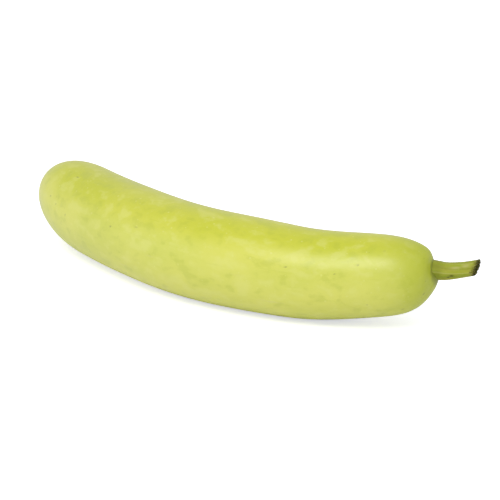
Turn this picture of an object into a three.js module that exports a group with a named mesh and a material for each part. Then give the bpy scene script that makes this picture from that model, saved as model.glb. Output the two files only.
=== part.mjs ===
// Bottle gourd: a long pale green fruit with its cut stem, lying on its side.
// Millimetres, +Z up. The origin is below the middle of the whole gourd, on the surface it lies on.
// +X runs towards the stem, and the blossom end swings round towards +Y.
import * as THREE from 'three';

// The fruit, followed along its middle line from the blossom end (share 0) to the stem end (share 1)
const FRUIT_LENGTH = 453;
const BELLY_RADIUS = 41.3;
const NECK_RADIUS = 30;
const NECK_FROM_SHARE = 0.55;

// How far the middle line turns away from the X axis, seen from above, in degrees
const BLOSSOM_TURN = 54;
const STEM_TURN = 12;
const TURN_FROM_SHARE = 0.2;
const TURN_TO_SHARE = 0.92;

// How high the underside is above the surface at the two ends
const BLOSSOM_RISE = 8;
const BLOSSOM_RISE_SHARE = 0.2;
const STEM_RISE = 13.7;
const STEM_RISE_FROM_SHARE = 0.72;

// The rounded ends: how far each reaches along the middle line, and how square its shoulder is
const BLOSSOM_CAP = { reach: 104, power: 2.97 };
const STEM_CAP = { reach: 56, power: 3.3 };

// The stem stands this much above the middle of the end that it grows from
const STEM_OFFSET = 9.3;

// Away from the middle of the stem the end slants back, this far in at this distance above the stem
const STEM_SLANT = { inset: 12, distance: 10, power: 1.1 };

// The shallow hollows at the tips: the blossom scar and the seat of the stem
const SCAR_HOLLOW = { radius: 8, depth: 1.4 };
const STEM_HOLLOW = { radius: 14, depth: 1.8 };

// Broad, shallow swells that keep the fruit from being a perfect lathe form
const SWELLS = [
  { height: 0.3, around: 2, along: 1.5, start: 0.6 },
  { height: 0.2, around: 3, along: 2.5, start: 2.1 },
  { height: 0.2, around: 1, along: 3.5, start: 4.4 },
];

// How deep the soft underside is pressed flat where the fruit rests
const REST_DEPTH = 0.7;

const FRUIT_RINGS = 56;
const FRUIT_SIDES = 72;

// The stem: lengths along its own middle line, which goes on from the fruit's
const STEM_LENGTH = 27.8;
const STEM_RADIUS = 5.9;
const STEM_FOOT_RADIUS = 8.8;
const STEM_FOOT_FLARE = 15;
const STEM_FOOT_FADE_POWER = 3;
const STEM_FOOT_SLIM_ABOVE = 0.55;
const STEM_TIP_FLARE = 0.1;
const STEM_TIP_FROM_SHARE = 0.6;
const STEM_SIDEWAYS_LEAN = 4;
const STEM_SIDEWAYS_BEND = 4;
const STEM_UPWARD_LEAN = 12;
const STEM_UPWARD_BEND = 13;
const STEM_SETTLE = 3;
const STEM_RIDGES = 5;
const STEM_RIDGE_RELIEF = 0.06;
const STEM_TWIST = 20;
const STEM_CUT_SLOPE = 0.55;
const STEM_CUT_TURN = 20;
const STEM_CUT_BLUNTNESS = 0.3;
const STEM_CUT_BLUNT_FROM = 0.5;
const STEM_CUT_HOLLOW = 1.6;
const STEM_GAP = 0.35;

const STEM_RINGS = 20;
const STEM_SIDES = 40;
const STEM_END_RINGS = 5;

const UP = new THREE.Vector3(0, 0, 1);

function smoothStep(from, to, value) {
  return THREE.MathUtils.smoothstep(value, from, to);
}

// Heading of the fruit's middle line at a share of its length, as a direction seen from above
function heading(share) {
  const turned = smoothStep(TURN_FROM_SHARE, TURN_TO_SHARE, share);
  const angle = THREE.MathUtils.degToRad(THREE.MathUtils.lerp(BLOSSOM_TURN, STEM_TURN, turned));
  return new THREE.Vector3(Math.cos(angle), -Math.sin(angle), 0);
}

function bodyRadius(share) {
  const along = Math.max(0, (share - NECK_FROM_SHARE) / (1 - NECK_FROM_SHARE));
  return THREE.MathUtils.lerp(BELLY_RADIUS, NECK_RADIUS, along * along);
}

function undersideHeight(share) {
  const blossom = BLOSSOM_RISE * (1 - smoothStep(0, BLOSSOM_RISE_SHARE, share));
  const stem = STEM_RISE * smoothStep(STEM_RISE_FROM_SHARE, 1, share);
  return blossom + stem - REST_DEPTH;
}

// The middle line as points at even steps: headings are added up from the blossom tip
const PATH_STEPS = 800;

function walkMiddleLine() {
  const points = [];
  const place = new THREE.Vector3();
  for (let i = 0; i <= PATH_STEPS; i += 1) {
    const share = i / PATH_STEPS;
    const height = bodyRadius(share) + undersideHeight(share);
    points.push(new THREE.Vector3(place.x, place.y, height));
    place.addScaledVector(heading(share + 0.5 / PATH_STEPS), FRUIT_LENGTH / PATH_STEPS);
  }
  return points;
}

const MIDDLE_LINE = walkMiddleLine();

function middlePoint(share) {
  const step = THREE.MathUtils.clamp(share, 0, 1) * PATH_STEPS;
  const before = Math.min(Math.floor(step), PATH_STEPS - 1);
  return MIDDLE_LINE[before].clone().lerp(MIDDLE_LINE[before + 1], step - before);
}

// A frame on the middle line: where it is, which way it runs, and what is sideways and upwards there
function middleFrame(share) {
  const reach = 2 / PATH_STEPS;
  const point = middlePoint(share);
  const forward = middlePoint(share + reach).sub(middlePoint(share - reach)).normalize();
  const side = new THREE.Vector3().crossVectors(forward, UP).normalize();
  const up = new THREE.Vector3().crossVectors(side, forward);
  return { point, forward, side, up };
}

// How much of the full radius is left at a distance from a rounded tip
function capShare(distance, cap) {
  const left = 1 - Math.min(distance / cap.reach, 1);
  return Math.sqrt(1 - left ** cap.power);
}

// How small a ring of the fruit has become towards the stem: 0 at full girth, 1 at the tip.
// The end climbs towards the stem with the square of this, and slants back with its cube.
function stemEndShare(fromStem) {
  const left = 1 - Math.min(fromStem / STEM_CAP.reach, 1);
  return left ** STEM_CAP.power;
}

// How far the end slants back beside the stem: most above it, and not at all straight below it
function slantDepth(across, height, endShare) {
  const below = (1 - Math.sin(Math.atan2(height, across))) / 2;
  const distance = Math.hypot(across, height) * (1 - below * below);
  return STEM_SLANT.inset * (distance / STEM_SLANT.distance) ** STEM_SLANT.power * endShare ** 3;
}

// How far a tip's hollow draws the skin inwards, at a radius from the tip's middle
function hollowDepth(radius, hollow) {
  const share = Math.min(radius / hollow.radius, 1);
  return hollow.depth * (1 - share * share) ** 2;
}

function swellHeight(share, angle) {
  const fade = Math.sin(Math.PI * share);
  let height = 0;
  for (const swell of SWELLS) {
    const wave = swell.around * angle + 2 * Math.PI * swell.along * share + swell.start;
    height += swell.height * Math.sin(wave);
  }
  return height * fade;
}

function fruitRing(share) {
  const { point, forward, side, up } = middleFrame(share);
  const fromBlossom = share * FRUIT_LENGTH;
  const fromStem = FRUIT_LENGTH - fromBlossom;
  const radius = bodyRadius(share) * capShare(fromBlossom, BLOSSOM_CAP) * capShare(fromStem, STEM_CAP);
  const nearStem = fromStem < fromBlossom;
  const inwards = nearStem ? -hollowDepth(radius, STEM_HOLLOW) : hollowDepth(radius, SCAR_HOLLOW);
  const endShare = stemEndShare(fromStem);
  const ring = [];
  for (let i = 0; i < FRUIT_SIDES; i += 1) {
    const angle = (2 * Math.PI * i) / FRUIT_SIDES;
    const reach = radius + swellHeight(share, angle);
    const across = reach * Math.cos(angle);
    const height = reach * Math.sin(angle) + STEM_OFFSET * endShare ** 2;
    const slant = slantDepth(across, height - STEM_OFFSET, endShare);
    const vertex = point.clone().addScaledVector(forward, inwards - slant);
    vertex.addScaledVector(side, across).addScaledVector(up, height);
    vertex.z = Math.max(vertex.z, 0);
    ring.push(vertex);
  }
  return ring;
}

// A closed skin over rings of vertices, drawn together in one vertex at each end
function closedSkin(rings, firstTip, lastTip) {
  const sides = rings[0].length;
  const vertices = [firstTip, ...rings.flat(), lastTip];
  const positions = vertices.flatMap((vertex) => vertex.toArray());
  const triangles = [];
  const at = (ring, side) => 1 + ring * sides + (side % sides);
  for (let side = 0; side < sides; side += 1) {
    triangles.push(0, at(0, side), at(0, side + 1));
    for (let ring = 0; ring < rings.length - 1; ring += 1) {
      triangles.push(at(ring, side), at(ring + 1, side), at(ring, side + 1));
      triangles.push(at(ring, side + 1), at(ring + 1, side), at(ring + 1, side + 1));
    }
    triangles.push(vertices.length - 1, at(rings.length - 1, side + 1), at(rings.length - 1, side));
  }
  const geometry = new THREE.BufferGeometry();
  geometry.setAttribute('position', new THREE.Float32BufferAttribute(positions, 3));
  geometry.setIndex(triangles);
  geometry.computeVertexNormals();
  return geometry;
}

function fruitGeometry() {
  const rings = [];
  for (let i = 1; i < FRUIT_RINGS; i += 1) {
    rings.push(fruitRing((1 - Math.cos((Math.PI * i) / FRUIT_RINGS)) / 2));
  }
  const blossom = middleFrame(0);
  const stem = middleFrame(1);
  const blossomTip = blossom.point.addScaledVector(blossom.forward, SCAR_HOLLOW.depth);
  const stemTip = stem.point.addScaledVector(stem.forward, -STEM_HOLLOW.depth);
  stemTip.addScaledVector(stem.up, STEM_OFFSET);
  return closedSkin(rings, blossomTip, stemTip);
}

const RING_SEARCH_STEPS = 8;

// How far behind the end of the middle line the fruit's skin lies, beside the middle of the stem.
// The ring of the fruit that passes there is searched for, because the rings climb towards the stem.
function stemEndInset(radius, angle) {
  const across = radius * Math.cos(angle);
  const height = radius * Math.sin(angle);
  let ringRadius = radius;
  let left = 1;
  for (let i = 0; i < RING_SEARCH_STEPS; i += 1) {
    left = 1 - (ringRadius / NECK_RADIUS) ** 2;
    ringRadius = Math.hypot(across, height + STEM_OFFSET * (1 - left ** 2));
  }
  const rounding = STEM_CAP.reach * (1 - left ** (1 / STEM_CAP.power));
  return rounding + hollowDepth(ringRadius, STEM_HOLLOW) + slantDepth(across, height, left);
}

// The stem's own middle line starts in the fruit's last frame, then leans and bends out of it
function stemFrame(distance) {
  const start = middleFrame(1);
  const free = Math.max(distance, 0);
  const share = free / STEM_LENGTH;
  const settled = 1 - Math.exp(-free / STEM_SETTLE);
  const slope = (lean, bend) => THREE.MathUtils.degToRad(lean * settled + bend * share);
  const drift = (lean, bend) => {
    const leant = lean * (free - STEM_SETTLE * settled);
    return THREE.MathUtils.degToRad(leant + (bend * share * free) / 2);
  };
  const point = start.point.addScaledVector(start.forward, distance);
  point.addScaledVector(start.side, drift(STEM_SIDEWAYS_LEAN, STEM_SIDEWAYS_BEND));
  point.addScaledVector(start.up, STEM_OFFSET + drift(STEM_UPWARD_LEAN, STEM_UPWARD_BEND));
  const forward = start.forward.clone();
  forward.addScaledVector(start.side, slope(STEM_SIDEWAYS_LEAN, STEM_SIDEWAYS_BEND));
  forward.addScaledVector(start.up, slope(STEM_UPWARD_LEAN, STEM_UPWARD_BEND)).normalize();
  const side = new THREE.Vector3().crossVectors(forward, UP).normalize();
  const up = new THREE.Vector3().crossVectors(side, forward);
  return { point, forward, side, up };
}

function ridgeFactor(angle, distance) {
  const twist = THREE.MathUtils.degToRad(STEM_TWIST) * (distance / STEM_LENGTH);
  const wave = Math.cos(STEM_RIDGES * (angle + twist));
  return 1 + STEM_RIDGE_RELIEF * (1 - 2 * Math.sqrt((1 - wave) / 2));
}

// The foot flares less above the stem, where the shoulder slants, than beside and below it
function stemRadius(distance, angle) {
  const slimness = 1 - STEM_FOOT_SLIM_ABOVE * Math.max(Math.sin(angle), 0);
  const widening = (STEM_FOOT_RADIUS - STEM_RADIUS) * slimness;
  const flare = widening * Math.exp(-Math.max(distance, 0) / STEM_FOOT_FLARE);
  const tip = STEM_TIP_FLARE * smoothStep(STEM_TIP_FROM_SHARE, 1, distance / STEM_LENGTH);
  return STEM_RADIUS + flare + tip;
}

// How far the oblique cut runs on beyond the stem's middle: furthest above it and a little behind,
// and blunt at that corner
function cutSlant(radius, angle) {
  const above = Math.sin(angle - THREE.MathUtils.degToRad(STEM_CUT_TURN));
  const blunt = STEM_CUT_BLUNTNESS * smoothStep(STEM_CUT_BLUNT_FROM, 1, above);
  return STEM_CUT_SLOPE * radius * (above - blunt);
}

// One ring of the stem, as wide as the stem is at the distance along: reach scales its radius, and
// place gives each vertex's own distance along the stem
function stemRing(reach, along, place) {
  const ring = [];
  for (let i = 0; i < STEM_SIDES; i += 1) {
    const angle = (2 * Math.PI * i) / STEM_SIDES;
    const radius = reach * stemRadius(along, angle) * ridgeFactor(angle, along);
    const distance = place(radius, angle);
    const { point, side, up } = stemFrame(distance);
    point.addScaledVector(side, radius * Math.cos(angle)).addScaledVector(up, radius * Math.sin(angle));
    ring.push(point);
  }
  return ring;
}

function stemGeometry() {
  const footPlace = (radius, angle) => STEM_GAP - stemEndInset(radius, angle);
  const rings = [];
  for (let i = 1; i <= STEM_END_RINGS; i += 1) {
    rings.push(stemRing(i / STEM_END_RINGS, 0, footPlace));
  }
  for (let i = 1; i <= STEM_RINGS; i += 1) {
    const share = i / STEM_RINGS;
    const along = STEM_LENGTH * share;
    const place = (radius, angle) => {
      const straight = along + cutSlant(radius, angle) * share * share;
      return straight + footPlace(radius, angle) * (1 - share) ** STEM_FOOT_FADE_POWER;
    };
    rings.push(stemRing(1, along, place));
  }
  for (let i = 1; i < STEM_END_RINGS; i += 1) {
    const reach = 1 - i / STEM_END_RINGS;
    const sunk = STEM_CUT_HOLLOW * (1 - reach * reach);
    const place = (radius, angle) => STEM_LENGTH - sunk + cutSlant(radius, angle);
    rings.push(stemRing(reach, STEM_LENGTH, place));
  }
  const foot = stemFrame(footPlace(0, 0)).point;
  const cut = stemFrame(STEM_LENGTH - STEM_CUT_HOLLOW).point;
  return closedSkin(rings, foot, cut);
}

const skin = new THREE.MeshStandardMaterial({ color: 0xc3cd68, roughness: 0.45, metalness: 0 });
const stalk = new THREE.MeshStandardMaterial({ color: 0x949c3e, roughness: 0.7, metalness: 0 });

const fruit = new THREE.Mesh(fruitGeometry(), skin);
fruit.name = 'fruit';
const stem = new THREE.Mesh(stemGeometry(), stalk);
stem.name = 'stem';

const gourd = new THREE.Group();
gourd.add(fruit, stem);

// The origin goes below the middle of the whole gourd
const middle = new THREE.Box3().setFromObject(gourd).getCenter(new THREE.Vector3());
gourd.position.set(-middle.x, -middle.y, 0);

export default gourd;
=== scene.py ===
# A bottle gourd lying on its side: the pale green fruit and its cut, ridged stalk.
# Metres, +Z up. Fruit and stalk follow the same driving dimensions as the solids they stand for.
import math

import bpy
import numpy as np
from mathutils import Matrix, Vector


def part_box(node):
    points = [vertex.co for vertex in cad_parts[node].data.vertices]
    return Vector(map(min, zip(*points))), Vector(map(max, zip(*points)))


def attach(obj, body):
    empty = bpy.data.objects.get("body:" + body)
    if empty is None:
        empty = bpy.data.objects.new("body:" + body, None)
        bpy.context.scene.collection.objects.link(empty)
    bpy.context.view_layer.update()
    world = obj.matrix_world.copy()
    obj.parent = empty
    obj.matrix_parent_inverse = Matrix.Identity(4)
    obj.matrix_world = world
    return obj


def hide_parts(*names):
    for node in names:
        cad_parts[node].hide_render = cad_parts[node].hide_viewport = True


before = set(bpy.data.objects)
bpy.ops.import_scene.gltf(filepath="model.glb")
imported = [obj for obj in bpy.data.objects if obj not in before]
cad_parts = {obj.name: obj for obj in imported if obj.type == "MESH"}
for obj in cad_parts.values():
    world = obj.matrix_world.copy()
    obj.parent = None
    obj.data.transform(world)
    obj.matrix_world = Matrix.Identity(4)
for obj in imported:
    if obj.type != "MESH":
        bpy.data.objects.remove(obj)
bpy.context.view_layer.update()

MM = 0.001

# The fruit, followed along its middle line from the blossom end (share 0) to the stem end (share 1)
FRUIT_LENGTH = 453 * MM
BELLY_RADIUS = 41.3 * MM
NECK_RADIUS = 30 * MM
NECK_FROM_SHARE = 0.55
BLOSSOM_TURN = math.radians(54)
STEM_TURN = math.radians(12)
TURN_SHARES = (0.2, 0.92)
BLOSSOM_RISE = 8 * MM
BLOSSOM_RISE_SHARE = 0.2
STEM_RISE = 13.7 * MM
STEM_RISE_FROM_SHARE = 0.72
REST_DEPTH = 0.7 * MM
BLOSSOM_CAP = {"reach": 104 * MM, "power": 2.97}
STEM_CAP = {"reach": 56 * MM, "power": 3.3}
STEM_OFFSET = 9.3 * MM
STEM_SLANT = {"inset": 12 * MM, "distance": 10 * MM, "power": 1.1, "end_power": 3}
SCAR_HOLLOW = {"radius": 8 * MM, "depth": 1.4 * MM}
STEM_HOLLOW = {"radius": 14 * MM, "depth": 1.8 * MM}
SWELLS = (
    {"height": 0.3 * MM, "around": 2, "along": 1.5, "start": 0.6},
    {"height": 0.2 * MM, "around": 3, "along": 2.5, "start": 2.1},
    {"height": 0.2 * MM, "around": 1, "along": 3.5, "start": 4.4},
)

# How finely the fruit's skin is made, and how finely its middle line and its outline are walked
FRUIT_RINGS = 370
FRUIT_SIDES = 248
PATH_STEPS = 800
TANGENT_STEPS = 2
SKIN_STEPS = 8001
OUTLINE_RINGS = 2000
FIRST_RING = 0.6

# Fine relief of the skin, all of it soft round spots that are stretched along the fruit. A scratch's
# own height is a share of SCRATCH_HEIGHT
SCATTER_SHARES = (0.02, 0.98)
SPOT_STRETCH = (0.8, 1.3)
DENTS = {"count": 70, "radius": (7 * MM, 20 * MM), "height": (-0.22 * MM, 0.22 * MM), "stretch": (1.2, 2.6)}
PITS = {"count": 260, "radius": (0.9 * MM, 1.6 * MM), "height": (-0.26 * MM, -0.08 * MM),
        "stretch": SPOT_STRETCH}
WARTS = {"count": 120, "radius": (0.9 * MM, 2.2 * MM), "height": (0.05 * MM, 0.16 * MM),
         "stretch": SPOT_STRETCH}
SCRATCHES = {"count": 16, "radius": (0.35 * MM, 0.6 * MM), "height": (0.5, 1.0), "stretch": (6, 22)}
SCRATCH_HEIGHT = 0.06 * MM
MARK_DEPTH = 0.12 * MM
SPOT_REACH = 2.6
SPOT_LEAST_RADIUS = 2 * MM
RELIEF_SEED = 41
SCRATCH_SEED = 23
RELIEF_FULL_RADIUS = 6 * MM

# Creases towards the tips; each stray is how far, how often round the fruit, and where it starts
SHOULDER_CREASES = {"count": 10, "depth": 0.8 * MM, "reach": 20 * MM}
SCAR_CREASES = {"count": 9, "depth": 0.35 * MM, "reach": 13 * MM}
CREASE_STRAYS = ((0.9, 2, 1), (0.6, 3, 0))
CREASE_OPENING = 0.25
SCAR_BUTTON = {"radius": 3.6 * MM, "height": 1.1 * MM, "rise": (0.2, 0.7), "fall": (0.7, 1.2)}

# The stalk, followed along its own middle line from the fruit
STALK_LENGTH = 27.8 * MM
STALK_RADIUS = 5.9 * MM
STALK_FOOT_RADIUS = 8.8 * MM
STALK_FOOT_FLARE = 15 * MM
STALK_FOOT_FADE_POWER = 3
STALK_FOOT_SLIM_ABOVE = 0.55
STALK_TIP_FLARE = 0.1 * MM
STALK_TIP_FROM_SHARE = 0.6
STALK_SIDEWAYS = (math.radians(4), math.radians(4))
STALK_UPWARD = (math.radians(12), math.radians(13))
STALK_SETTLE = 3 * MM
STALK_RIDGES = 5
STALK_RIDGE_RELIEF = 0.06
STALK_TWIST = math.radians(20)
STALK_CUT_SLOPE = 0.55
STALK_CUT_TURN = math.radians(20)
STALK_CUT_BLUNTNESS = 0.3
STALK_CUT_BLUNT_FROM = 0.5
STALK_CUT_HOLLOW = 1.6 * MM
STALK_SUNK = 0.25 * MM
SKIN_SEARCH_TURNS = 8
STALK_RINGS = 150
STALK_SIDES = 220
STALK_END_RINGS = 30

# Fine relief of the stalk: ridges between the main ones, the torn rim, and the face of the cut, whose
# floor is given in shares of the cut's hollow
FINE_RIDGES = {"count": 17, "relief": 0.012, "stray": 2, "strays": 3}
FINEST_RIDGES = {"count": 41, "relief": 0.006, "start": 1}
FINE_RIDGES_FULL = 5 * MM
TORN_RIM = {"height": 0.3 * MM, "size": (0.3, 1), "start": (0, 6.28), "from_share": 0.75}
TORN_RIM_WAVES = (3, 7, 13, 23, 37)
TORN_RIM_SEED = 17
CURLED_RIM = {"relief": 0.02, "waves": 9, "from_share": 0.93}
CUT_FLOOR = {"depth": 1.1, "ripple": 0.3, "ripples": 9, "pith": 1.3}
CUT_FIBRES = (
    {"height": 0.3 * MM, "around": 11, "inwards": 30, "rings": 24, "start": 2},
    {"height": 0.2 * MM, "around": 29, "inwards": -17, "rings": 50, "start": 0},
)
CUT_BROWNING = 9 * MM

# Where the photograph was taken from: the point looked at, how far, how steeply, and the lens
LOOK_AT = Vector((7.2, -34.9, 40)) * MM
CAMERA_DISTANCE = 1329 * MM
CAMERA_PITCH = math.radians(20)
CAMERA_LENS = 108
CAMERA_SENSOR = 36

# The white table and the lights; a light's azimuth is 0 on the camera's side and 90 at +X
TABLE_HALF = 12.0
TABLE_WHITE = (0.93, 0.93, 0.925)
TABLE_GLOW = (0.86, 0.87, 1.0)
WORLD_STRENGTH = 0.7
SOFTBOXES = (
    {"name": "front softbox", "azimuth": -12, "elevation": 53, "away": 1.5, "size": 0.6, "power": 8.4},
    {"name": "left softbox", "azimuth": -80, "elevation": 18, "away": 1.5, "size": 0.9, "power": 2.2},
)

UP = np.array([0.0, 0.0, 1.0])


def smooth_step(low, high, value):
    share = np.clip((value - low) / (high - low), 0, 1)
    return share * share * (3 - 2 * share)


def unit(rows):
    return rows / np.linalg.norm(rows, axis=-1, keepdims=True)


def drawn(random, limits, count):
    return random.uniform(limits[0], limits[1], count)


# The fruit's middle line

def body_radius(share):
    along = np.clip((share - NECK_FROM_SHARE) / (1 - NECK_FROM_SHARE), 0, 1)
    return BELLY_RADIUS + (NECK_RADIUS - BELLY_RADIUS) * along**2


def underside_height(share):
    blossom = BLOSSOM_RISE * (1 - smooth_step(0, BLOSSOM_RISE_SHARE, share))
    stem = STEM_RISE * smooth_step(STEM_RISE_FROM_SHARE, 1, share)
    return blossom + stem - REST_DEPTH


PATH_SHARES = np.linspace(0, 1, PATH_STEPS + 1)


def walk_middle_line():
    """Points at even steps along the middle line, starting above the origin at the blossom tip."""
    turned = smooth_step(*TURN_SHARES, PATH_SHARES[:-1] + 0.5 / PATH_STEPS)
    angle = BLOSSOM_TURN + (STEM_TURN - BLOSSOM_TURN) * turned
    steps = np.stack([np.cos(angle), -np.sin(angle)], 1) * FRUIT_LENGTH / PATH_STEPS
    places = np.concatenate([[[0, 0]], np.cumsum(steps, 0)])
    heights = body_radius(PATH_SHARES) + underside_height(PATH_SHARES)
    return np.column_stack([places, heights])


MIDDLE_LINE = walk_middle_line()


def middle_points(share):
    return np.stack([np.interp(share, PATH_SHARES, MIDDLE_LINE[:, i]) for i in range(3)], -1)


def middle_frames(share):
    """Where the middle line is, which way it runs, and what is sideways and upwards there."""
    reach = TANGENT_STEPS / PATH_STEPS
    forward = unit(middle_points(share + reach) - middle_points(share - reach))
    side = unit(np.cross(forward, UP))
    return middle_points(share), forward, side, np.cross(side, forward)


def cap_share(distance, cap):
    left = 1 - np.clip(distance / cap["reach"], 0, 1)
    return np.sqrt(1 - left ** cap["power"])


def slant_depth(across, height, end_share):
    """How far the end slants back beside the stalk: most above it, not at all straight below it."""
    below = (1 - np.sin(np.arctan2(height, across))) / 2
    share = np.hypot(across, height) * (1 - below**2) / STEM_SLANT["distance"]
    return STEM_SLANT["inset"] * share ** STEM_SLANT["power"] * end_share ** STEM_SLANT["end_power"]


def hollow_depth(radius, hollow):
    share = np.clip(radius / hollow["radius"], 0, 1)
    return hollow["depth"] * (1 - share**2) ** 2


def fruit_radius(share):
    along = share * FRUIT_LENGTH
    caps = cap_share(along, BLOSSOM_CAP) * cap_share(FRUIT_LENGTH - along, STEM_CAP)
    return body_radius(share) * caps


def even_ring_shares(count):
    """Shares whose rings lie evenly far apart on the skin, also where it closes at the tips."""
    fine = (1 - np.cos(np.linspace(0, math.pi, SKIN_STEPS))) / 2
    radius = fruit_radius(fine)
    skin = np.concatenate([[0], np.cumsum(np.hypot(np.diff(fine) * FRUIT_LENGTH, np.diff(radius)))])
    steps = count - 1 + 2 * FIRST_RING
    return np.interp((np.arange(count) + FIRST_RING) / steps * skin[-1], skin, fine)


# The fruit's skin: heights above the smooth form, on a grid of rings and sides

def swells(share, angle):
    height = np.zeros(np.broadcast(share, angle).shape)
    for swell in SWELLS:
        wave = swell["around"] * angle + 2 * math.pi * swell["along"] * share + swell["start"]
        height += swell["height"] * np.sin(wave)
    return height * np.sin(math.pi * share)


def spots(share, angle, radius, places):
    """Sum of round soft spots; each place has a share, an angle, a radius, a height and a stretch."""
    height = np.zeros(np.broadcast(share, angle).shape)
    along = share[:, 0] * FRUIT_LENGTH
    for spot_share, spot_angle, spot_radius, spot_height, stretch in places:
        reach = SPOT_REACH * spot_radius * stretch
        rows = np.nonzero(np.abs(along - spot_share * FRUIT_LENGTH) < reach)[0]
        if len(rows) == 0:
            continue
        rows = slice(rows[0], rows[-1] + 1)
        turn = (angle - spot_angle + math.pi) % (2 * math.pi) - math.pi
        across = turn * np.maximum(radius[rows], SPOT_LEAST_RADIUS) / spot_radius
        lengthwise = (along[rows, None] - spot_share * FRUIT_LENGTH) / (spot_radius * stretch)
        height[rows] += spot_height * np.exp(-(across**2 + lengthwise**2))
    return height


def scattered(random, kind):
    """Places for one kind of spots, each with its share, angle, radius, height and stretch."""
    count = kind["count"]
    return np.column_stack([
        drawn(random, SCATTER_SHARES, count),
        drawn(random, (0, 2 * math.pi), count),
        drawn(random, kind["radius"], count),
        drawn(random, kind["height"], count),
        drawn(random, kind["stretch"], count),
    ])


def tip_creases(distance, angle, creases):
    """Shallow creases that run together towards a tip."""
    uneven = creases["count"] * angle
    for stray, around, start in CREASE_STRAYS:
        uneven = uneven + stray * np.sin(around * angle + start)
    opened = smooth_step(0, CREASE_OPENING * creases["reach"], distance)
    fade = np.exp(-((distance / creases["reach"]) ** 2)) * opened
    return -creases["depth"] * fade * (1 - np.abs(np.sin(uneven / 2)))


def fruit_relief(share, angle, radius):
    """Swells, dents, pits and raised specks together, as heights above the smooth form."""
    random = np.random.default_rng(RELIEF_SEED)
    height = swells(share, angle)
    for kind in (DENTS, PITS, WARTS):
        height += spots(share, angle, radius, scattered(random, kind))
    return height


# The marks that age and handling left on the skin: share, angle in degrees, length and width in mm
DARK_MARKS = (
    (0.36, 23, 1.5, 1.5),
    (0.206, 11, 1.0, 1.2),
    (0.128, 22, 1.4, 0.9),
    (0.16, 17, 1.0, 1.0),
    (0.171, 64, 3.4, 0.7),
    (0.425, 33, 3.8, 0.6),
    (0.73, 26, 1.7, 0.8),
    (0.819, 22, 1.2, 0.8),
    (0.858, 34, 1.5, 1.3),
    (0.903, 56, 1.3, 0.7),
    (0.936, -40, 2.4, 0.9),
    (0.977, -25, 1.6, 1.0),
    (0.45, 130, 3.0, 0.9),
    (0.6, 160, 1.4, 1.3),
    (0.25, 175, 4.2, 0.7),
    (0.78, 200, 2.0, 1.2),
)


def marks(share, angle, radius):
    """1 in the middle of a mark, 0 away from it."""
    depth = np.zeros(np.broadcast(share, angle).shape)
    for mark_share, degrees, length, width in DARK_MARKS:
        place = (mark_share, math.radians(degrees), width * MM / 2, 1.0, length / width)
        depth += spots(share, angle, radius, [place])
    return np.clip(depth, 0, 1)


def scratches(share, angle, radius):
    """Thin healed scratches that run along the fruit: 1 on a scratch, 0 away from it."""
    random = np.random.default_rng(SCRATCH_SEED)
    return np.clip(spots(share, angle, radius, scattered(random, SCRATCHES)), 0, 1)


def closed_mesh(name, rings, first_tip, last_tip):
    """A mesh over rings of points, drawn together in one point at each end."""
    count, sides = rings.shape[:2]
    points = np.concatenate([[first_tip], rings.reshape(-1, 3), [last_tip]])
    at = 1 + np.arange(count * sides).reshape(count, sides)
    turned = np.roll(at, -1, axis=1)
    quads = np.stack([at[:-1], at[1:], turned[1:], turned[:-1]], -1).reshape(-1, 4)
    first = np.stack([np.zeros(sides, int), at[0], turned[0]], -1)
    last = np.stack([np.full(sides, len(points) - 1), turned[-1], at[-1]], -1)
    mesh = bpy.data.meshes.new(name)
    mesh.from_pydata(points.tolist(), [], first.tolist() + quads.tolist() + last.tolist())
    mesh.shade_smooth()
    return mesh


def add_points(mesh, name, values):
    """Stores a value or a vector on every point, for the material to read."""
    kind = "FLOAT_VECTOR" if values.ndim == 2 else "FLOAT"
    attribute = mesh.attributes.new(name, kind, "POINT")
    key = "vector" if values.ndim == 2 else "value"
    attribute.data.foreach_set(key, values.astype(np.float32).ravel())


def add_ring_values(mesh, name, rows, first=0, last=0):
    """Stores values of all rings in the order of a mesh's points, between those of its two tips."""
    add_points(mesh, name, np.concatenate([[first], rows.ravel(), [last]]))


def add_grown_place(mesh, along, radius, angle, length):
    """Stores where every point would be on a straight piece, for the patterns that follow growth."""
    grown = np.stack(np.broadcast_arrays(along, radius * np.cos(angle), radius * np.sin(angle)), -1)
    grown = np.concatenate([[[0, 0, 0]], grown.reshape(-1, 3), [[length, 0, 0]]])
    add_points(mesh, "grown", grown)


def tip_distances(share, radius):
    """How far a point is from the two tips, over the skin's end rather than along the line."""
    along = share * FRUIT_LENGTH
    return np.hypot(along, radius), np.hypot(FRUIT_LENGTH - along, radius)


def skin_height(share, angle, mark, scratch):
    """How far the skin stands out over the smooth form; it lies flat right at the tips."""
    radius = fruit_radius(share)
    from_blossom, from_stem = tip_distances(share, radius)
    height = fruit_relief(share, angle, radius) - MARK_DEPTH * mark + SCRATCH_HEIGHT * scratch
    height += tip_creases(from_stem - STALK_FOOT_RADIUS, angle, SHOULDER_CREASES)
    height += tip_creases(from_blossom, angle, SCAR_CREASES)
    return height * smooth_step(0, RELIEF_FULL_RADIUS, radius)


def end_inset(share, radius):
    """How far the skin goes forward in the blossom scar, with its raised middle, and at the stalk."""
    from_middle = radius / SCAR_BUTTON["radius"]
    button = smooth_step(*SCAR_BUTTON["rise"], from_middle)
    button = button * (1 - smooth_step(*SCAR_BUTTON["fall"], from_middle))
    scar = hollow_depth(radius, SCAR_HOLLOW) - SCAR_BUTTON["height"] * button
    return np.where(share < 0.5, scar, -hollow_depth(radius, STEM_HOLLOW))


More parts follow.
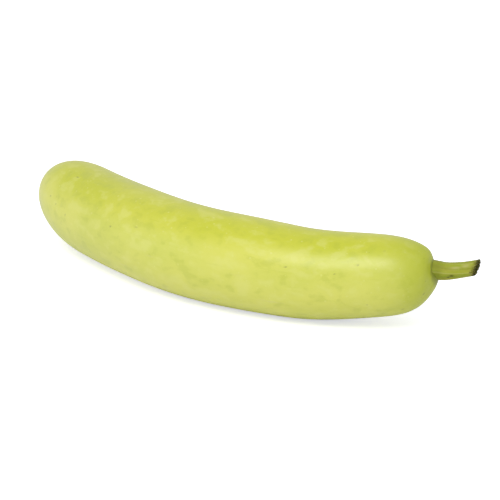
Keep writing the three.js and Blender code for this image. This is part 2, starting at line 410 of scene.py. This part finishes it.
def fruit_rings(share, angle, height):
    """The skin's points, ring by ring along the middle line, flat where the fruit rests."""
    radius = fruit_radius(share)
    point, forward, side, up = middle_frames(share[:, 0])
    left = 1 - np.clip((FRUIT_LENGTH - share * FRUIT_LENGTH) / STEM_CAP["reach"], 0, 1)
    end_share = left ** STEM_CAP["power"]
    across = (radius + height) * np.cos(angle)
    upwards = (radius + height) * np.sin(angle) + STEM_OFFSET * end_share**2
    inwards = end_inset(share, radius) - slant_depth(across, upwards - STEM_OFFSET, end_share)
    rings = point[:, None] + forward[:, None] * inwards[..., None] + up[:, None] * upwards[..., None]
    rings = rings + side[:, None] * across[..., None]
    rings[..., 2] = np.maximum(rings[..., 2], 0)
    return rings


def make_fruit(material):
    """The fruit's fine skin, with all that its material reads from its points."""
    share = even_ring_shares(FRUIT_RINGS)[:, None]
    angle = np.arange(FRUIT_SIDES)[None, :] * 2 * math.pi / FRUIT_SIDES
    radius = fruit_radius(share)
    mark = marks(share, angle, radius)
    scratch = scratches(share, angle, radius)
    rings = fruit_rings(share, angle, skin_height(share, angle, mark, scratch))

    ends, runs, _, ups = middle_frames(np.array([0.0, 1.0]))
    blossom_tip = ends[0] + runs[0] * SCAR_HOLLOW["depth"]
    stem_tip = ends[1] - runs[1] * STEM_HOLLOW["depth"] + ups[1] * STEM_OFFSET
    mesh = closed_mesh("fruit_skin", rings + PLACE, blossom_tip + PLACE, stem_tip + PLACE)

    add_grown_place(mesh, share * FRUIT_LENGTH, radius, angle, FRUIT_LENGTH)
    from_blossom, from_stem = tip_distances(share, np.broadcast_to(radius, rings.shape[:2]))
    add_ring_values(mesh, "from_stem", from_stem, FRUIT_LENGTH, 0)
    add_ring_values(mesh, "from_blossom", from_blossom, 0, FRUIT_LENGTH)
    add_ring_values(mesh, "mark", mark)
    add_ring_values(mesh, "scratch", scratch)
    add_piece(mesh, material, "fruit")


def add_piece(mesh, material, node):
    """Puts a finished mesh into the scene, in the place of a node of the solids."""
    mesh.materials.append(material)
    piece = bpy.data.objects.new(mesh.name, mesh)
    bpy.context.scene.collection.objects.link(piece)
    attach(piece, "root")
    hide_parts(node)


# The stalk

def stem_end_inset(radius, angle):
    """How far behind the end of the middle line the fruit's skin lies, beside the stalk's middle."""
    across = radius * np.cos(angle)
    height = radius * np.sin(angle)
    ring_radius = radius
    for _ in range(SKIN_SEARCH_TURNS):
        left = 1 - (ring_radius / NECK_RADIUS) ** 2
        ring_radius = np.hypot(across, height + STEM_OFFSET * (1 - left**2))
    rounding = STEM_CAP["reach"] * (1 - left ** (1 / STEM_CAP["power"]))
    return rounding + hollow_depth(ring_radius, STEM_HOLLOW) + slant_depth(across, height, left)


def stalk_frames(distance):
    """The stalk's middle line starts in the fruit's last frame, then leans and bends out of it."""
    point, forward, side, up = (rows[0] for rows in middle_frames(np.array([1.0])))
    free = np.maximum(distance, 0)
    share = free / STALK_LENGTH
    settled = 1 - np.exp(-free / STALK_SETTLE)

    def drift(lean, bend):
        return lean * (free - STALK_SETTLE * settled) + bend * share * free / 2

    def slope(lean, bend):
        return lean * settled + bend * share

    places = point + distance[..., None] * forward + drift(*STALK_SIDEWAYS)[..., None] * side
    places = places + (STEM_OFFSET + drift(*STALK_UPWARD))[..., None] * up
    runs = forward + slope(*STALK_SIDEWAYS)[..., None] * side + slope(*STALK_UPWARD)[..., None] * up
    runs = unit(runs)
    sides = unit(np.cross(runs, UP))
    return places, sides, np.cross(sides, runs)


def stalk_radius(distance, angle):
    """The foot flares less above the stalk than beside and below it."""
    slimness = 1 - STALK_FOOT_SLIM_ABOVE * np.maximum(np.sin(angle), 0)
    widening = (STALK_FOOT_RADIUS - STALK_RADIUS) * slimness
    flare = widening * np.exp(-np.maximum(distance, 0) / STALK_FOOT_FLARE)
    tip = STALK_TIP_FLARE * smooth_step(STALK_TIP_FROM_SHARE, 1, distance / STALK_LENGTH)
    return STALK_RADIUS + flare + tip


def cut_slant(radius, angle):
    """How far the oblique cut runs on above the stalk's middle, blunt at its furthest corner."""
    above = np.sin(angle - STALK_CUT_TURN)
    blunt = STALK_CUT_BLUNTNESS * smooth_step(STALK_CUT_BLUNT_FROM, 1, above)
    return STALK_CUT_SLOPE * radius * (above - blunt)


def stalk_ridges(angle, distance):
    """Main ridges with a fibrous relief of finer ones, as a factor on the radius."""
    turned = angle + STALK_TWIST * np.maximum(distance, 0) / STALK_LENGTH
    wave = np.cos(STALK_RIDGES * turned)
    main = STALK_RIDGE_RELIEF * (1 - 2 * np.sqrt((1 - wave) / 2))
    stray = FINE_RIDGES["stray"] * np.sin(FINE_RIDGES["strays"] * turned)
    fine = FINE_RIDGES["relief"] * np.sin(FINE_RIDGES["count"] * turned + stray)
    finest = FINEST_RIDGES["relief"] * np.sin(FINEST_RIDGES["count"] * turned + FINEST_RIDGES["start"])
    return 1 + main + (fine + finest) * smooth_step(0, FINE_RIDGES_FULL, distance)


# Dark stains and pale streaks on the stalk: distance from the foot, angle, length and width in mm
STALK_STAINS = (
    (8.1, -22, 3.6, 2.2),
    (5.2, -35, 2.2, 1.4),
    (23.0, -11, 1.6, 1.3),
    (21.0, 96, 2.0, 1.2),
    (17.0, 170, 4.5, 1.6),
    (6.0, 230, 3.0, 2.0),
)
STALK_STREAKS = (
    (12.0, 34, 9.0, 2.2),
    (20.0, 42, 7.0, 2.6),
    (19.0, 118, 12.0, 1.8),
    (11.0, 200, 14.0, 2.4),
    (16.0, 290, 12.0, 2.0),
)


def stalk_spots(place, angle, places):
    """1 in the middle of a spot on the stalk, 0 away from it."""
    depth = np.zeros(np.broadcast(place, angle).shape)
    for distance, degrees, length, width in places:
        turn = (angle - math.radians(degrees) + math.pi) % (2 * math.pi) - math.pi
        across = turn * STALK_RADIUS / (width * MM / 2)
        lengthwise = (place - distance * MM) / (length * MM / 2)
        depth = np.maximum(depth, np.exp(-(across**2) - lengthwise**2))
    return depth


def torn_rim(angle):
    """How far the torn rim of the cut strays along the stalk, round its edge."""
    random = np.random.default_rng(TORN_RIM_SEED)
    stray = np.zeros_like(angle)
    for wave in TORN_RIM_WAVES:
        size = random.uniform(*TORN_RIM["size"])
        stray = stray + size * np.sin(wave * angle + random.uniform(*TORN_RIM["start"]))
    return TORN_RIM["height"] * stray


def end_reaches():
    """Radii of the rings between the middle and the rim of an end face, as shares of the rim's."""
    return (np.arange(1, STALK_END_RINGS) / STALK_END_RINGS)[:, None]


def stalk_foot(angle):
    """Rings of the foot, sunk in the skin: radius and distance along the stalk, from the middle."""
    radius = end_reaches() * stalk_radius(0, angle) * stalk_ridges(angle, 0)
    return radius, -STALK_SUNK - stem_end_inset(radius, angle)


def stalk_side(angle, torn):
    """Rings of the side: radius and distance along the stalk, from the foot to the cut's rim."""
    share = np.linspace(0, 1, STALK_RINGS)[:, None]
    along = share * STALK_LENGTH
    curled = smooth_step(CURLED_RIM["from_share"], 1, share)
    curl = 1 + CURLED_RIM["relief"] * np.sin(CURLED_RIM["waves"] * angle) * curled
    radius = stalk_radius(along, angle) * stalk_ridges(angle, along) * curl
    rim = -STALK_SUNK - stem_end_inset(radius, angle)
    place = along + cut_slant(radius, angle) * share**2 + rim * (1 - share) ** STALK_FOOT_FADE_POWER
    return radius, place + torn * smooth_step(TORN_RIM["from_share"], 1, share)


def stalk_cut(rim_radius, angle, torn):
    """Rings of the crumbly cut face: radius and distance along the stalk, from its rim inwards."""
    reach = 1 - end_reaches()
    radius = reach * rim_radius
    floor = CUT_FLOOR["depth"] - CUT_FLOOR["ripple"] * np.cos(CUT_FLOOR["ripples"] * reach)
    place = STALK_LENGTH + cut_slant(radius, angle) - STALK_CUT_HOLLOW * (1 - reach**2) * floor
    for fibres in CUT_FIBRES:
        spiral = np.sin(fibres["around"] * angle + fibres["inwards"] * reach)
        ring = np.sin(fibres["rings"] * reach + fibres["start"])
        place = place + fibres["height"] * spiral * ring * reach
    return radius, place + torn * reach**3


def make_stalk(material):
    """The stalk in one closed skin of foot, side and cut, with what its material reads."""
    angle = np.arange(STALK_SIDES)[None, :] * 2 * math.pi / STALK_SIDES
    torn = torn_rim(angle)
    foot_radius, foot_place = stalk_foot(angle)
    side_radius, side_place = stalk_side(angle, torn)
    cut_radius, cut_place = stalk_cut(side_radius[-1], angle, torn)

    radius = np.concatenate([foot_radius, side_radius, cut_radius])
    place = np.concatenate([foot_place, side_place, cut_place])
    points, sides, ups = stalk_frames(place)
    rings = points + sides * (radius * np.cos(angle))[..., None] + ups * (radius * np.sin(angle))[..., None]
    pith_place = STALK_LENGTH - CUT_FLOOR["pith"] * STALK_CUT_HOLLOW
    tips = stalk_frames(np.array([foot_place[0].mean(), pith_place]))[0]
    mesh = closed_mesh("stalk", rings + PLACE, tips[0] + PLACE, tips[1] + PLACE)
    add_grown_place(mesh, place, radius, angle, STALK_LENGTH)

    # How close a point is to the cut: 0 on the green side, 1 on the cut face
    slanted = STALK_LENGTH + cut_slant(radius, angle)
    cut_near = np.clip(1 - (slanted - place) / CUT_BROWNING, 0, 1)
    cut_near[-len(cut_place):] = 1
    add_ring_values(mesh, "cut_near", cut_near, 0, 1)
    add_ring_values(mesh, "ridge", (stalk_ridges(angle, place) - 1) / STALK_RIDGE_RELIEF)
    add_ring_values(mesh, "stain", stalk_spots(place, angle, STALK_STAINS))
    add_ring_values(mesh, "streak", stalk_spots(place, angle, STALK_STREAKS))
    add_piece(mesh, material, "stem")


# Shader helpers

def new_material(name):
    material = bpy.data.materials.new(name)
    material.use_nodes = True
    return material, material.node_tree, material.node_tree.nodes["Principled BSDF"]


def add_node(tree, kind, values=None, **settings):
    node = tree.nodes.new(kind)
    for key, value in settings.items():
        setattr(node, key, value)
    for key, value in (values or {}).items():
        node.inputs[key].default_value = value
    return node


def math_node(tree, operation, first, second):
    """A Math node over two sockets or numbers; returns its output."""
    node = add_node(tree, "ShaderNodeMath", operation=operation)
    for slot, value in enumerate((first, second)):
        if isinstance(value, (int, float)):
            node.inputs[slot].default_value = value
        else:
            tree.links.new(value, node.inputs[slot])
    return node.outputs[0]


def remap(tree, value, low, high, to_low=0.0, to_high=1.0):
    node = add_node(tree, "ShaderNodeMapRange", interpolation_type="SMOOTHSTEP")
    tree.links.new(value, node.inputs["Value"])
    node.inputs["From Min"].default_value = low
    node.inputs["From Max"].default_value = high
    node.inputs["To Min"].default_value = to_low
    node.inputs["To Max"].default_value = to_high
    return node.outputs["Result"]


# The Mix node's sockets for colours, by number, because it has others of the same names
MIX_FACTOR = 0
MIX_FIRST = 6
MIX_SECOND = 7
MIX_COLOUR = 2


def blend_colour(tree, factor, first, second):
    """A Mix node over two colours, each a socket or a tuple; returns its colour."""
    node = add_node(tree, "ShaderNodeMix", data_type="RGBA")
    for key, value in ((MIX_FACTOR, factor), (MIX_FIRST, first), (MIX_SECOND, second)):
        if isinstance(value, (int, float)):
            node.inputs[key].default_value = value
        elif isinstance(value, tuple):
            node.inputs[key].default_value = (*value, 1)
        else:
            tree.links.new(value, node.inputs[key])
    return node.outputs[MIX_COLOUR]


def read_points(tree, name, output="Fac"):
    """The values stored on a piece's points under a name."""
    node = add_node(tree, "ShaderNodeAttribute", attribute_type="GEOMETRY", attribute_name=name)
    return node.outputs[output]


def lay_over(tree, colour, layers, masks):
    """Lays tones over a colour in order; each layer has a mask, its limits, a strength and a tone."""
    for name, limits, strength, tone in layers:
        if limits:
            amount = remap(tree, masks[name], *limits, 0, strength)
        else:
            amount = math_node(tree, "MULTIPLY", masks[name], strength)
        colour = blend_colour(tree, amount, colour, tone)
    return colour


def weighted_sum(tree, weights, masks):
    """Adds up masks, each times its own weight."""
    total = 0.0
    for name, weight in weights:
        total = math_node(tree, "ADD", total, math_node(tree, "MULTIPLY", masks[name], weight))
    return total


def add_bump(tree, shader, height, strength, distance):
    """Feeds a height to the shader's normal, for relief finer than the mesh."""
    bump = add_node(tree, "ShaderNodeBump", {"Strength": strength, "Distance": distance})
    tree.links.new(height, bump.inputs["Height"])
    tree.links.new(bump.outputs["Normal"], shader.inputs["Normal"])


def place_parts(tree, place):
    """A place on the straight piece taken apart: X along it, Z upwards."""
    parts = add_node(tree, "ShaderNodeSeparateXYZ")
    tree.links.new(place, parts.inputs[0])
    return parts.outputs


def new_group(name, inputs, outputs):
    """An empty shader group; inputs and outputs are (name, socket type, starting value)."""
    group = bpy.data.node_groups.new(name, "ShaderNodeTree")
    for in_out, sockets in (("INPUT", inputs), ("OUTPUT", outputs)):
        for socket_name, kind, start in sockets:
            socket = group.interface.new_socket(socket_name, in_out=in_out, socket_type=kind)
            if start is not None:
                socket.default_value = start
    return group, group.nodes.new("NodeGroupInput").outputs, group.nodes.new("NodeGroupOutput").inputs


# Shader groups for the patterns that both materials use

NOISE_MIDDLE = 0.5
SPECK_LEAST_SIZE = 0.4
SPECK_EDGE = (1.0, 0.5)


def cloudy_mottling():
    """Soft clouds of tone: a mask around 0.5, from noise that is a little distorted."""
    group, given, result = new_group(
        "Cloudy mottling",
        [("Place", "NodeSocketVector", None), ("Cloud Size", "NodeSocketFloat", 0.03),
         ("Stretch", "NodeSocketFloat", 1.0), ("Contrast", "NodeSocketFloat", 1.0)],
        [("Mask", "NodeSocketFloat", None)],
    )
    scaled = add_node(group, "ShaderNodeVectorMath", operation="DIVIDE")
    lengths = add_node(group, "ShaderNodeCombineXYZ")
    length = math_node(group, "MULTIPLY", given["Cloud Size"], given["Stretch"])
    group.links.new(length, lengths.inputs["X"])
    group.links.new(given["Cloud Size"], lengths.inputs["Y"])
    group.links.new(given["Cloud Size"], lengths.inputs["Z"])
    group.links.new(given["Place"], scaled.inputs[0])
    group.links.new(lengths.outputs[0], scaled.inputs[1])
    noise = add_node(group, "ShaderNodeTexNoise",
                     {"Scale": 1.0, "Detail": 4.0, "Roughness": 0.5, "Distortion": 0.15})
    group.links.new(scaled.outputs[0], noise.inputs["Vector"])
    centred = math_node(group, "SUBTRACT", noise.outputs["Fac"], NOISE_MIDDLE)
    strong = math_node(group, "MULTIPLY", centred, given["Contrast"])
    group.links.new(math_node(group, "ADD", strong, NOISE_MIDDLE), result["Mask"])
    return group


def scattered_specks():
    """Small round specks, scattered at random: 1 in a speck, 0 outside."""
    group, given, result = new_group(
        "Scattered specks",
        [("Place", "NodeSocketVector", None), ("Spacing", "NodeSocketFloat", 0.006),
         ("Speck Size", "NodeSocketFloat", 0.12), ("Share", "NodeSocketFloat", 0.5)],
        [("Mask", "NodeSocketFloat", None)],
    )
    scaled = add_node(group, "ShaderNodeVectorMath", operation="SCALE")
    group.links.new(given["Place"], scaled.inputs[0])
    group.links.new(math_node(group, "DIVIDE", 1.0, given["Spacing"]), scaled.inputs["Scale"])
    cells = add_node(group, "ShaderNodeTexVoronoi", {"Scale": 1.0, "Randomness": 1.0})
    group.links.new(scaled.outputs[0], cells.inputs["Vector"])
    tint = add_node(group, "ShaderNodeSeparateColor")
    group.links.new(cells.outputs["Color"], tint.inputs[0])
    uneven = math_node(group, "ADD", tint.outputs[1], SPECK_LEAST_SIZE)
    size = math_node(group, "MULTIPLY", given["Speck Size"], uneven)
    inside = math_node(group, "DIVIDE", cells.outputs["Distance"], size)
    soft = remap(group, inside, *SPECK_EDGE)
    chosen = math_node(group, "LESS_THAN", tint.outputs[0], given["Share"])
    group.links.new(math_node(group, "MULTIPLY", soft, chosen), result["Mask"])
    return group


def long_fibres():
    """Fine streaks that run along the piece: a mask around 0.5."""
    group, given, result = new_group(
        "Long fibres",
        [("Place", "NodeSocketVector", None), ("Fibre Width", "NodeSocketFloat", 0.001),
         ("Fibre Length", "NodeSocketFloat", 0.02)],
        [("Mask", "NodeSocketFloat", None)],
    )
    lengths = add_node(group, "ShaderNodeCombineXYZ")
    group.links.new(given["Fibre Length"], lengths.inputs["X"])
    group.links.new(given["Fibre Width"], lengths.inputs["Y"])
    group.links.new(given["Fibre Width"], lengths.inputs["Z"])
    scaled = add_node(group, "ShaderNodeVectorMath", operation="DIVIDE")
    group.links.new(given["Place"], scaled.inputs[0])
    group.links.new(lengths.outputs[0], scaled.inputs[1])
    noise = add_node(group, "ShaderNodeTexNoise", {"Scale": 1.0, "Detail": 3.0, "Roughness": 0.6})
    group.links.new(scaled.outputs[0], noise.inputs["Vector"])
    group.links.new(noise.outputs["Fac"], result["Mask"])
    return group


def use_group(tree, group, place, **values):
    """A copy of a group in a tree, fed with a place and its own values; returns its mask."""
    node = add_node(tree, "ShaderNodeGroup", node_tree=group)
    tree.links.new(place, node.inputs["Place"])
    for key, value in values.items():
        node.inputs[key.replace("_", " ")].default_value = value
    return node.outputs["Mask"]


# The skin

SKIN_GREEN = (0.52, 0.56, 0.022)
SKIN_YELLOW = (0.63, 0.635, 0.07)
SKIN_PALE = (0.69, 0.70, 0.20)
SKIN_TOP_SHADE_LIME = (0.53, 0.56, 0.004)
SKIN_DEEP = (0.38, 0.44, 0.012)
SKIN_MARK = (0.20, 0.20, 0.03)
SKIN_SCAR = (0.34, 0.25, 0.10)
SKIN_SCAR_MIDDLE = (0.09, 0.06, 0.02)
SKIN_SPECK_AND_COLLAR_SHADE = (0.21, 0.24, 0.02)
SKIN_SCRATCH = (0.62, 0.57, 0.24)

# Tones laid over the green skin in order: the mask, where it begins and is full, strength and tone.
# Without limits a mask counts as it is
SKIN_LAYERS = (
    ("clouds", (0.25, 0.75), 1, SKIN_YELLOW),
    ("height", (36 * MM, 8 * MM), 0.34, SKIN_PALE),
    # The deeper lime on the upper side is painted shade: the top is tinted darker and more saturated for
    # the light that falls less on it
    ("height", (22 * MM, 37 * MM), 0.65, SKIN_TOP_SHADE_LIME),
    ("blotches", (0.5, 0.95), 0.36, SKIN_PALE),
    ("blotches", (0.42, 0.05), 0.25, SKIN_DEEP),
    ("streaks", (0.58, 0.85), 0.16, SKIN_DEEP),
    ("grain", (0.5, 0.85), 0.14, SKIN_PALE),
    ("pale specks", None, 0.42, SKIN_PALE),
    ("dark specks", None, 0.55, SKIN_MARK),
    ("from stem", (70 * MM, 16 * MM), 0.75, SKIN_DEEP),
    ("crown specks", None, 0.6, SKIN_SPECK_AND_COLLAR_SHADE),
    # The dark ring on the skin round the stalk's foot is painted shade, in the hollow where the stalk meets
    # the fruit
    ("from stem", (15 * MM, 9.2 * MM), 0.9, SKIN_SPECK_AND_COLLAR_SHADE),
    ("mark", None, 0.9, SKIN_MARK),
    ("scratch", None, 0.5, SKIN_SCRATCH),
    ("to scar", (13 * MM, 4 * MM), 0.45, SKIN_DEEP),
    ("to scar", (4.6 * MM, 3.6 * MM), 0.95, SKIN_SCAR),
    ("to scar", (2.4 * MM, 1.2 * MM), 0.8, SKIN_SCAR_MIDDLE),
)
CROWN_LIMITS = (42 * MM, 16 * MM)
SCAR_EDGE_STRAY = 3 * MM
SKIN_ROUGHNESS = {"limits": (0.1, 0.9), "values": (0.36, 0.5)}
SKIN_WAX = {"limits": (22 * MM, 60 * MM), "values": (0.02, 0.52)}
SKIN_BUMPS = (("grain", 0.2), ("pale specks", 1.0), ("spatter", 0.35), ("dark specks", -1.0))
SKIN_BUMP_STRENGTH = 0.4
SKIN_BUMP_HEIGHT = 0.2 * MM


def skin_masks(tree, mottling, specks, fibres):
    """All that varies over the skin: patterns, height, distances from the tips, and marks."""
    place = read_points(tree, "grown", "Vector")
    from_stem = read_points(tree, "from_stem")
    spatter = use_group(tree, mottling, place, Cloud_Size=2.2 * MM, Stretch=1.0, Contrast=2.0)
    crown = use_group(tree, specks, place, Spacing=2.6 * MM, Speck_Size=0.24, Share=0.5)
    stray = math_node(tree, "SUBTRACT", spatter, NOISE_MIDDLE)
    stray = math_node(tree, "MULTIPLY", stray, SCAR_EDGE_STRAY)
    return {
        "clouds": use_group(tree, mottling, place, Cloud_Size=50 * MM, Stretch=1.8, Contrast=1.6),
        "blotches": use_group(tree, mottling, place, Cloud_Size=11 * MM, Stretch=1.3, Contrast=2.6),
        "spatter": spatter,
        "streaks": use_group(tree, fibres, place, Fibre_Width=3.5 * MM, Fibre_Length=60 * MM),
        "grain": use_group(tree, fibres, place, Fibre_Width=0.7 * MM, Fibre_Length=3.5 * MM),
        "pale specks": use_group(tree, specks, place, Spacing=6.2 * MM, Speck_Size=0.16, Share=0.75),
        "dark specks": use_group(tree, specks, place, Spacing=17 * MM, Speck_Size=0.05, Share=0.4),
        "crown specks": math_node(tree, "MULTIPLY", crown, remap(tree, from_stem, *CROWN_LIMITS)),
        "height": place_parts(tree, place)["Z"],
        "from stem": from_stem,
        "to scar": math_node(tree, "ADD", read_points(tree, "from_blossom"), stray),
        "mark": read_points(tree, "mark"),
        "scratch": read_points(tree, "scratch"),
    }


def skin_material(mottling, specks, fibres):
    """Satin rind with a wax shine that fades on the shoulder, and light that goes a little way in."""
    material, tree, shader = new_material("gourd skin")
    masks = skin_masks(tree, mottling, specks, fibres)
    tree.links.new(lay_over(tree, SKIN_GREEN, SKIN_LAYERS, masks), shader.inputs["Base Color"])
    roughness = remap(tree, masks["blotches"], *SKIN_ROUGHNESS["limits"], *SKIN_ROUGHNESS["values"])
    tree.links.new(roughness, shader.inputs["Roughness"])
    wax = remap(tree, masks["from stem"], *SKIN_WAX["limits"], *SKIN_WAX["values"])
    tree.links.new(wax, shader.inputs["Coat Weight"])
    shader.inputs["Coat Roughness"].default_value = 0.35
    shader.inputs["Specular IOR Level"].default_value = 0.4
    shader.inputs["Subsurface Weight"].default_value = 0.18
    shader.inputs["Subsurface Radius"].default_value = (0.9, 1.0, 0.35)
    shader.inputs["Subsurface Scale"].default_value = 4 * MM
    shader.inputs["Sheen Weight"].default_value = 0.04
    shader.inputs["Sheen Roughness"].default_value = 0.5
    height = weighted_sum(tree, SKIN_BUMPS, masks)
    add_bump(tree, shader, height, SKIN_BUMP_STRENGTH, SKIN_BUMP_HEIGHT)
    return material


# The stalk's finish

STALK_GREEN = (0.30, 0.36, 0.020)
STALK_OLIVE = (0.37, 0.38, 0.04)
STALK_GREY_AND_RIDGE_HIGHLIGHT = (0.45, 0.44, 0.13)
STALK_DARK_AND_GROOVE_SHADE = (0.19, 0.21, 0.018)
STALK_STAIN = (0.06, 0.05, 0.008)
STALK_DRY = (0.17, 0.17, 0.018)
STALK_CHAR = (0.010, 0.010, 0.003)
STALK_PITH = (0.46, 0.45, 0.11)

# Tones laid over the green stalk in order, as for the skin, and then those of the cut
STALK_LAYERS = (
    ("clouds", (0.25, 0.8), 1, STALK_OLIVE),
    ("streaks", (0.55, 0.8), 0.6, STALK_GREY_AND_RIDGE_HIGHLIGHT),
    ("streaks", (0.45, 0.28), 0.6, STALK_DARK_AND_GROOVE_SHADE),
    # Ridge crests painted lighter grey and grooves painted darker: a painted highlight on the ridges and
    # painted shade between them
    ("ridge", (0.3, 0.95), 0.45, STALK_GREY_AND_RIDGE_HIGHLIGHT),
    ("ridge", (-0.4, -1.0), 0.3, STALK_DARK_AND_GROOVE_SHADE),
    ("lenticels", None, 0.25, STALK_PITH),
    ("streak", None, 0.9, STALK_GREY_AND_RIDGE_HIGHLIGHT),
    ("stain", None, 0.85, STALK_STAIN),
    ("along", (3 * MM, -5 * MM), 0.4, STALK_DARK_AND_GROOVE_SHADE),
    ("frayed", (0.72, 1.05), 1, STALK_DRY),
)
FRAYED_BY_CRUMBS = 0.35
CHAR_LIMITS = (0.95, 1.15)
CHAR_DUST_LIMITS = (0.45, 0.9)
CRUST_LAYER = ("crust", None, 0.9, STALK_PITH)
CRUST_CRUMB_LIMITS = (0.6, 1.0)
CRUST_CUT_LIMITS = (0.4, 0.8)
STALK_ROUGHNESS = {"limits": (0.2, 0.8), "values": (0.5, 0.75)}
CUT_ROUGHNESS = {"limits": (0.7, 1.0), "values": (0, 0.25)}
CUT_RELIEF = {"limits": (0.3, 0.9), "values": (0, 2)}
STALK_BUMP_STRENGTH = 0.6
STALK_BUMP_HEIGHT = 0.25 * MM


def stalk_masks(tree, mottling, specks, fibres):
    """All that varies over the stalk: patterns, ridges, stains, and how close the cut is."""
    place = read_points(tree, "grown", "Vector")
    cut_near = read_points(tree, "cut_near")
    crumbs = use_group(tree, mottling, place, Cloud_Size=1.1 * MM, Stretch=1.0, Contrast=3.0)
    frayed = math_node(tree, "ADD", cut_near, math_node(tree, "MULTIPLY", crumbs, FRAYED_BY_CRUMBS))
    crust = remap(tree, crumbs, *CRUST_CRUMB_LIMITS)
    return {
        "clouds": use_group(tree, mottling, place, Cloud_Size=9 * MM, Stretch=2.2, Contrast=2.0),
        "crumbs": crumbs,
        "dust": use_group(tree, mottling, place, Cloud_Size=0.5 * MM, Stretch=1.0, Contrast=2.4),
        "streaks": use_group(tree, fibres, place, Fibre_Width=1.1 * MM, Fibre_Length=16 * MM),
        "grain": use_group(tree, fibres, place, Fibre_Width=0.3 * MM, Fibre_Length=4 * MM),
        "lenticels": use_group(tree, specks, place, Spacing=3.4 * MM, Speck_Size=0.2, Share=0.35),
        "along": place_parts(tree, place)["X"],
        "ridge": read_points(tree, "ridge"),
        "streak": read_points(tree, "streak"),
        "stain": read_points(tree, "stain"),
        "cut near": cut_near,
        "frayed": frayed,
        "crust": math_node(tree, "MULTIPLY", crust, remap(tree, cut_near, *CRUST_CUT_LIMITS)),
    }


def stalk_material(mottling, specks, fibres):
    """Dull ridged green that dries towards the cut, whose face is dark and crumbly."""
    material, tree, shader = new_material("gourd stalk")
    masks = stalk_masks(tree, mottling, specks, fibres)
    colour = lay_over(tree, STALK_GREEN, STALK_LAYERS, masks)
    charred = blend_colour(tree, remap(tree, masks["dust"], *CHAR_DUST_LIMITS), STALK_CHAR, STALK_DRY)
    colour = blend_colour(tree, remap(tree, masks["frayed"], *CHAR_LIMITS), colour, charred)
    colour = lay_over(tree, colour, (CRUST_LAYER,), masks)
    tree.links.new(colour, shader.inputs["Base Color"])

    side = remap(tree, masks["streaks"], *STALK_ROUGHNESS["limits"], *STALK_ROUGHNESS["values"])
    cut = remap(tree, masks["cut near"], *CUT_ROUGHNESS["limits"], *CUT_ROUGHNESS["values"])
    tree.links.new(math_node(tree, "ADD", side, cut), shader.inputs["Roughness"])
    shader.inputs["Specular IOR Level"].default_value = 0.2
    shader.inputs["Subsurface Weight"].default_value = 0.05
    shader.inputs["Subsurface Scale"].default_value = 1 * MM

    crumbly = math_node(tree, "ADD", masks["crumbs"], masks["dust"])
    near = remap(tree, masks["cut near"], *CUT_RELIEF["limits"], *CUT_RELIEF["values"])
    crumbly = math_node(tree, "MULTIPLY", crumbly, near)
    fibrous = math_node(tree, "ADD", masks["grain"], masks["streaks"])
    height = math_node(tree, "ADD", fibrous, crumbly)
    add_bump(tree, shader, height, STALK_BUMP_STRENGTH, STALK_BUMP_HEIGHT)
    return material


# The studio

def add_floor():
    mesh = bpy.data.meshes.new("floor")
    half = TABLE_HALF
    corners = [(-half, -half, 0), (half, -half, 0), (half, half, 0), (-half, half, 0)]
    mesh.from_pydata(corners, [], [(0, 1, 2, 3)])
    material, tree, shader = new_material("white table")
    shader.inputs["Base Color"].default_value = (*TABLE_WHITE, 1)
    shader.inputs["Roughness"].default_value = 0.6
    shader.inputs["Specular IOR Level"].default_value = 0.2
    # The table glows faintly blue for camera rays only: painted light that lifts the shadows the gourd
    # throws on it and takes the yellow out of them
    seen = add_node(tree, "ShaderNodeLightPath").outputs["Is Camera Ray"]
    glow = blend_colour(tree, seen, (0.0, 0.0, 0.0), TABLE_GLOW)
    tree.links.new(glow, shader.inputs["Emission Color"])
    shader.inputs["Emission Strength"].default_value = 0.6
    mesh.materials.append(material)
    floor = bpy.data.objects.new("floor", mesh)
    bpy.context.scene.collection.objects.link(floor)


def add_softbox(name, azimuth, elevation, away, size, power):
    """A square soft light that faces the gourd."""
    light = bpy.data.lights.new(name, "AREA")
    light.shape = "SQUARE"
    light.size = size
    light.energy = power
    turn = math.radians(azimuth)
    rise = math.radians(elevation)
    towards = Vector((math.sin(turn) * math.cos(rise), -math.cos(turn) * math.cos(rise), math.sin(rise)))
    box = bpy.data.objects.new(name, light)
    box.location = LOOK_AT + towards * away
    box.rotation_mode = "QUATERNION"
    box.rotation_quaternion = towards.to_track_quat("Z", "Y")
    bpy.context.scene.collection.objects.link(box)


def light_studio():
    world = bpy.data.worlds.new("white studio")
    world.use_nodes = True
    background = world.node_tree.nodes["Background"]
    background.inputs["Color"].default_value = (1, 1, 1, 1)
    background.inputs["Strength"].default_value = WORLD_STRENGTH
    bpy.context.scene.world = world
    for softbox in SOFTBOXES:
        add_softbox(**softbox)
    bpy.context.scene.view_settings.view_transform = "Standard"
    bpy.context.scene.view_settings.look = "None"


def add_camera():
    data = bpy.data.cameras.new("camera")
    data.lens = CAMERA_LENS
    data.sensor_width = CAMERA_SENSOR
    camera = bpy.data.objects.new("camera", data)
    back = Vector((0, -math.cos(CAMERA_PITCH), math.sin(CAMERA_PITCH)))
    camera.location = LOOK_AT + back * CAMERA_DISTANCE
    camera.rotation_mode = "QUATERNION"
    camera.rotation_quaternion = back.to_track_quat("Z", "Y")
    bpy.context.scene.collection.objects.link(camera)
    bpy.context.scene.camera = camera


def place_of_middle_line():
    """How far the middle line's own origin is from the frame's, by the fruit's lowest corner."""
    share = even_ring_shares(OUTLINE_RINGS)
    points, _, side, _ = middle_frames(share)
    reach = fruit_radius(share)[:, None] * side
    outline = np.concatenate([points + reach, points - reach])
    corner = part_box("fruit")[0]
    return np.array([corner.x, corner.y, 0]) - np.array([*outline[:, :2].min(0), 0])


PLACE = place_of_middle_line()
mottling = cloudy_mottling()
specks = scattered_specks()
fibres = long_fibres()
make_fruit(skin_material(mottling, specks, fibres))
make_stalk(stalk_material(mottling, specks, fibres))
add_floor()
light_studio()
add_camera()
